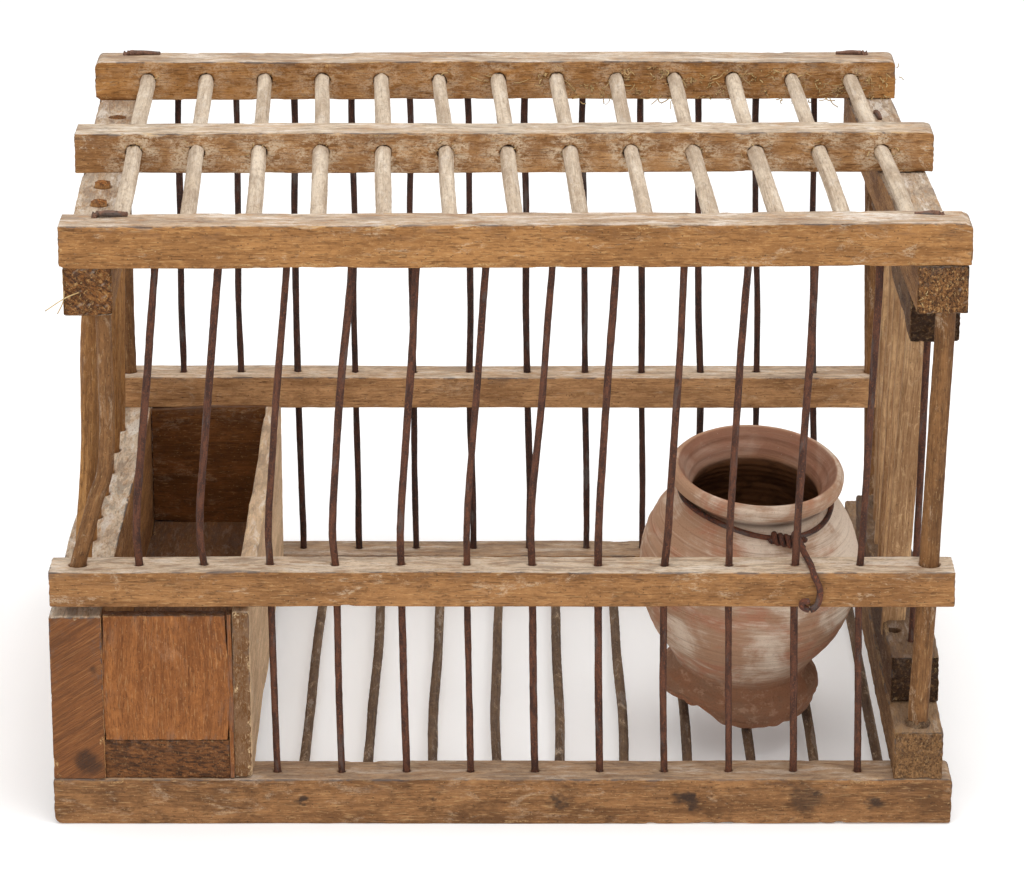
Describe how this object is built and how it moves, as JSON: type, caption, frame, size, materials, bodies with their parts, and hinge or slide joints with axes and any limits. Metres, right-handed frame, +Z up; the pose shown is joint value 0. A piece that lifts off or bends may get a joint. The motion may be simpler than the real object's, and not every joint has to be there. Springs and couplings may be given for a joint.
{
  "type": "rustic bird cage",
  "caption": "Rustic wooden bird cage of stacked rails and iron bars, with a seed trough, a slatted side gate and a clay water pot on a wire.",
  "frame": {"origin": "on the ground, at the middle of the overall box", "axes": "+X along the long rails towards the gate, +Y from front to back, +Z up"},
  "size_m": [0.616, 0.479, 0.43],
  "materials": {
    "rail_wood": "rough-sawn, weathered and dusty",
    "stick_wood": "whittled, dry and greyed",
    "trough_wood": "rough-sawn, stained darker",
    "floor_rod_wood": "dirty, with pale droppings",
    "rusty_iron": "rusted all over, matt",
    "clay": "unglazed, worn, with a pale bloom"
  },
  "bodies": {
    "cage": {"top_front_rail": "rail_wood", "top_middle_rail": "rail_wood", "top_back_rail": "rail_wood", "mid_front_rail": "rail_wood", "mid_back_rail": "rail_wood", "bottom_front_rail": "rail_wood", "bottom_back_rail": "rail_wood", "top_side_rail_left": "rail_wood", "top_side_rail_right": "rail_wood", "bottom_side_rail_right": "rail_wood", "left_plank": "rail_wood", "corner_dowel_front_right": "stick_wood", "corner_dowel_back_right": "stick_wood", "corner_dowel_front_left": "stick_wood", "corner_dowel_back_left": "stick_wood", "trough_bottom_board": "trough_wood", "trough_front_panel": "trough_wood", "trough_edge_strip": "trough_wood", "trough_inner_board": "trough_wood", "trough_back_panel": "trough_wood", "back_bars": "rusty_iron", "floor_rods": "floor_rod_wood", "left_sticks": "stick_wood", "nails": "rusty_iron", "front_bar_01": "rusty_iron", "front_bar_02": "rusty_iron", "front_bar_03": "rusty_iron", "front_bar_04": "rusty_iron", "front_bar_05": "rusty_iron", "front_bar_06": "rusty_iron", "front_bar_07": "rusty_iron", "front_bar_08": "rusty_iron", "front_bar_09": "rusty_iron", "front_bar_10": "rusty_iron", "front_bar_11": "rusty_iron", "front_bar_12": "rusty_iron", "roof_rod_01": "stick_wood", "roof_rod_02": "stick_wood", "roof_rod_03": "stick_wood", "roof_rod_04": "stick_wood", "roof_rod_05": "stick_wood", "roof_rod_06": "stick_wood", "roof_rod_07": "stick_wood", "roof_rod_08": "stick_wood", "roof_rod_09": "stick_wood", "roof_rod_10": "stick_wood", "roof_rod_11": "stick_wood", "roof_rod_12": "stick_wood", "roof_rod_13": "stick_wood"},
    "side_gate": {"gate_lower_rail": "rail_wood", "gate_upper_rail": "rail_wood", "gate_pivot_stick": "stick_wood", "gate_iron_bar": "rusty_iron", "gate_slats": "stick_wood"},
    "water_pot": {"clay_pot": "clay", "pot_wire": "rusty_iron"}
  },
  "joints": [
    {"name": "gate_hinge", "type": "hinge", "parent": "cage", "child": "side_gate", "pos_m": [0.284, 0.1346, 0.0673], "axis": [0, 0, 1], "range_deg": [0, 100]},
    {"name": "pot_lift", "type": "slide", "parent": "cage", "child": "water_pot", "axis": [0, 0, 1], "range_m": [0, 0.08]}
  ]
}
